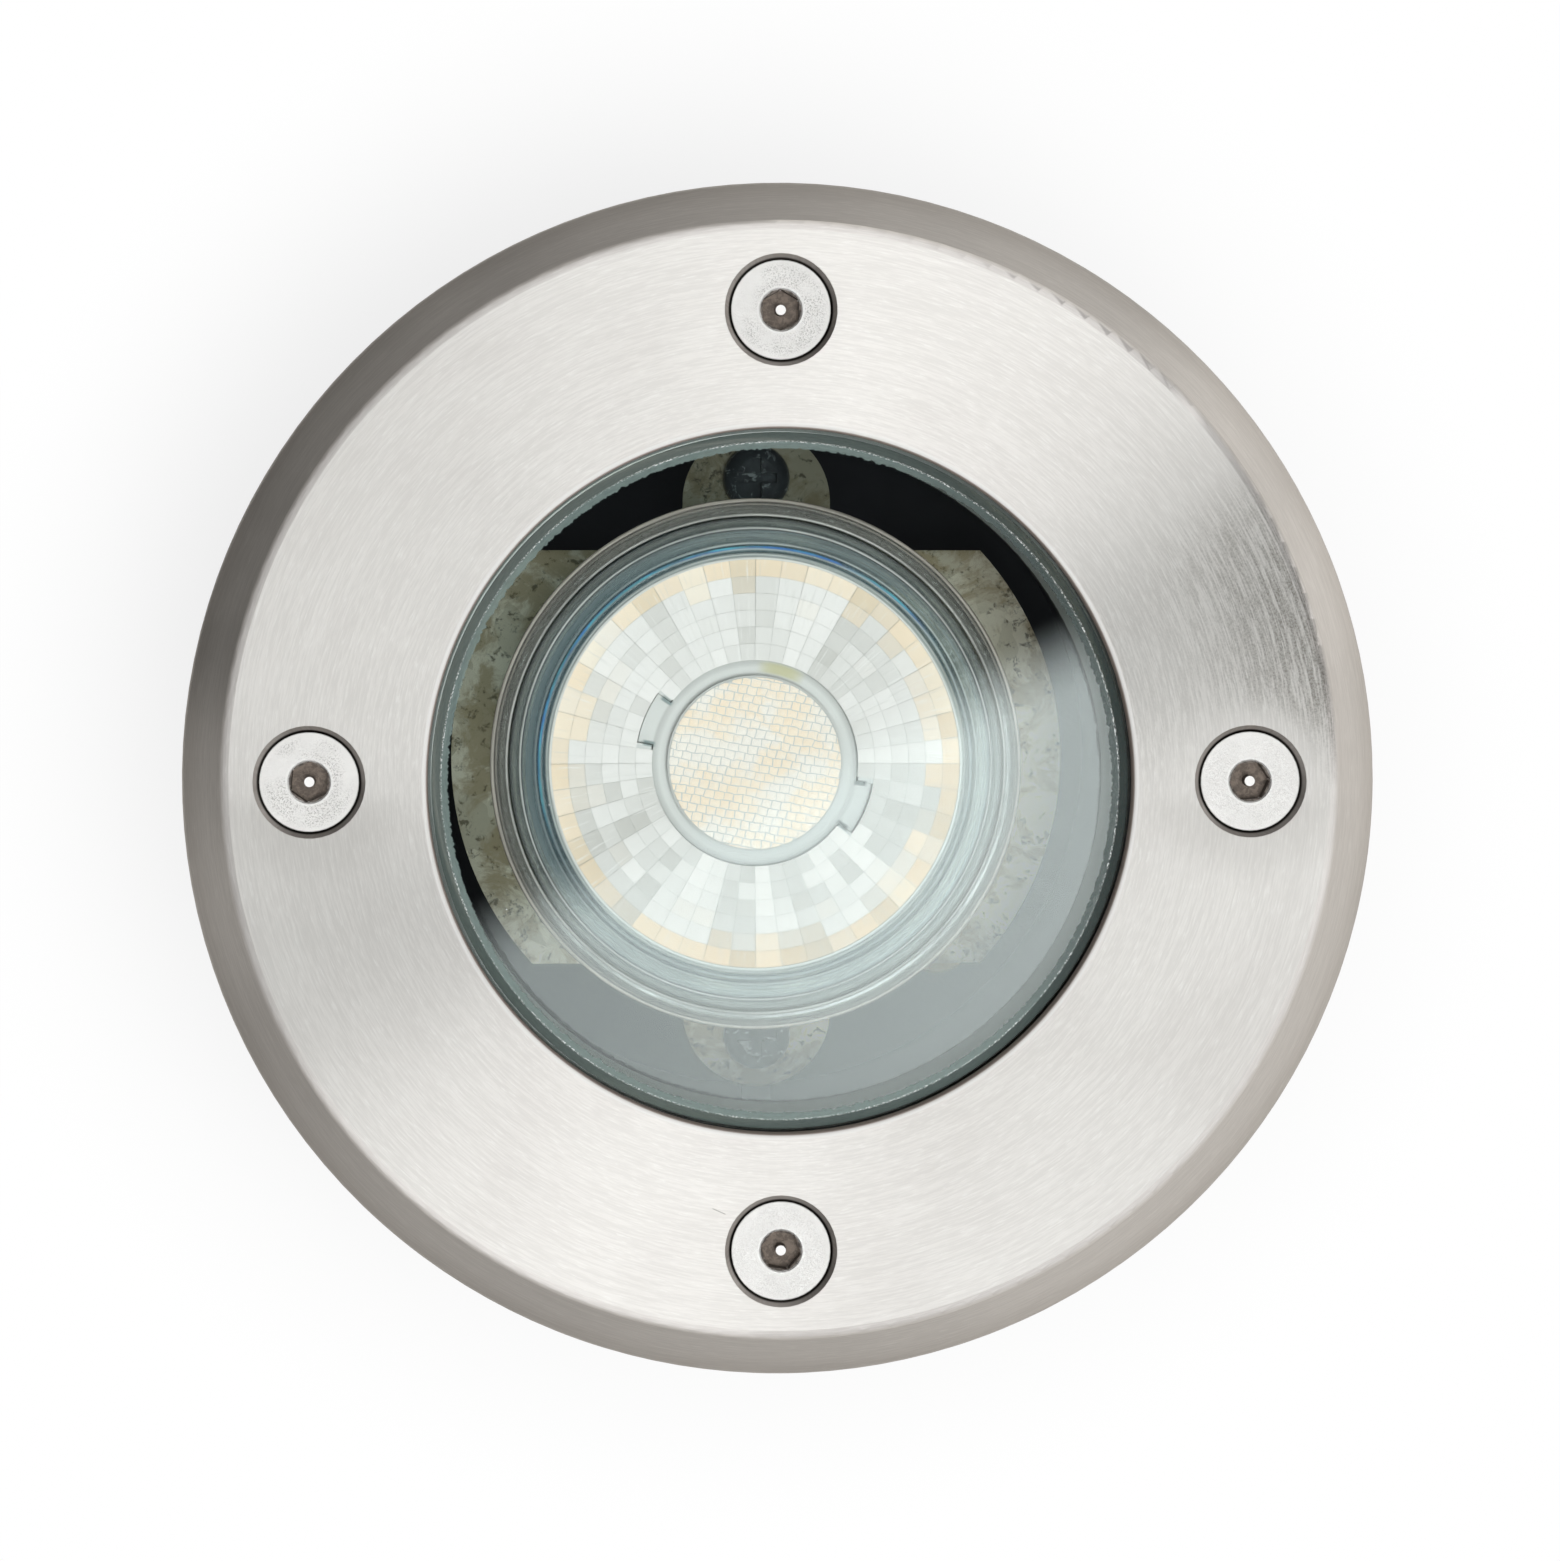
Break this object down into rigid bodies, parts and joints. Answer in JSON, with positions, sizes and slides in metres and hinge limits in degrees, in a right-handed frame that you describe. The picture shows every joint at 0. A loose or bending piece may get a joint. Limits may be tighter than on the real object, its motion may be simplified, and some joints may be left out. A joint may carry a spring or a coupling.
{
  "type": "in ground well light",
  "caption": "Round recessed ground light with a brushed steel bezel, thick glass window, sealed canister, twist-lock reflector lamp and an outer ground sleeve.",
  "frame": {"origin": "centre of the ground sleeve's open foot, on the light's axis", "axes": "+Z up out of the ground along the light's axis, +X towards the cable gland; the picture looks down -Z with +X to the right and +Y up"},
  "size_m": [0.11, 0.11, 0.14],
  "materials": {
    "stainless": "circular brushed",
    "screw_steel": "fine matt turned",
    "window_glass": "clear polished float glass",
    "gasket_rubber": "matt moulded",
    "seat_aluminium": "as cast, blasted",
    "housing_black": "satin powder coat",
    "bracket_zinc": "hot-dip galvanised, spangled",
    "dark_screw": "blackened",
    "ceramic": "glazed steatite",
    "mica": "laminated insulator",
    "brass": "bright turned",
    "nylon_white": "moulded",
    "nylon_black": "moulded",
    "lamp_shell_glass": "pressed glass",
    "lens_clear": "moulded optic",
    "board_white": "white solder mask",
    "phosphor": "silicone phosphor",
    "sink_aluminium": "spun",
    "driver_green": "solder mask",
    "capacitor_sleeve": "shrink sleeve",
    "lamp_base_white": "moulded",
    "pin_metal": "turned, nickel plated",
    "sleeve_plastic": "moulded, fine grain"
  },
  "bodies": {
    "fitting": {"mounting_sleeve": "sleeve_plastic", "bezel": "stainless", "bezel_screws": "screw_steel", "cover_glass": "window_glass", "glass_gasket_upper": "gasket_rubber", "glass_gasket_lower": "gasket_rubber", "flange_gasket": "gasket_rubber", "seat_ring": "seat_aluminium", "housing": "housing_black", "lampholder_bracket": "bracket_zinc", "bracket_screws": "dark_screw", "lampholder_body": "ceramic", "lampholder_base_plate": "mica", "lampholder_contacts": "brass", "lampholder_screws": "screw_steel", "lampholder_nuts": "screw_steel", "terminal_block": "nylon_white", "terminal_inserts": "brass", "terminal_screws": "screw_steel", "terminal_block_screws": "screw_steel", "earth_screw": "brass", "gland_body": "nylon_black", "gland_washer": "gasket_rubber", "gland_locknut": "nylon_black", "gland_seal": "gasket_rubber", "gland_nut": "nylon_black"},
    "lamp": {"lamp_glass": "lamp_shell_glass", "lamp_lens": "lens_clear", "lamp_center_lens": "lens_clear", "lamp_led_board": "board_white", "lamp_led_chips": "phosphor", "lamp_heat_sink": "sink_aluminium", "lamp_driver_board": "driver_green", "lamp_driver_capacitor": "capacitor_sleeve", "lamp_base": "lamp_base_white", "lamp_pins": "pin_metal"}
  },
  "joints": [
    {"name": "lamp_twist", "type": "hinge", "parent": "fitting", "child": "lamp", "pos_m": [-0.0019, 0.0012, 0.073], "axis": [0, 0, 1], "range_deg": [0, 30]}
  ]
}
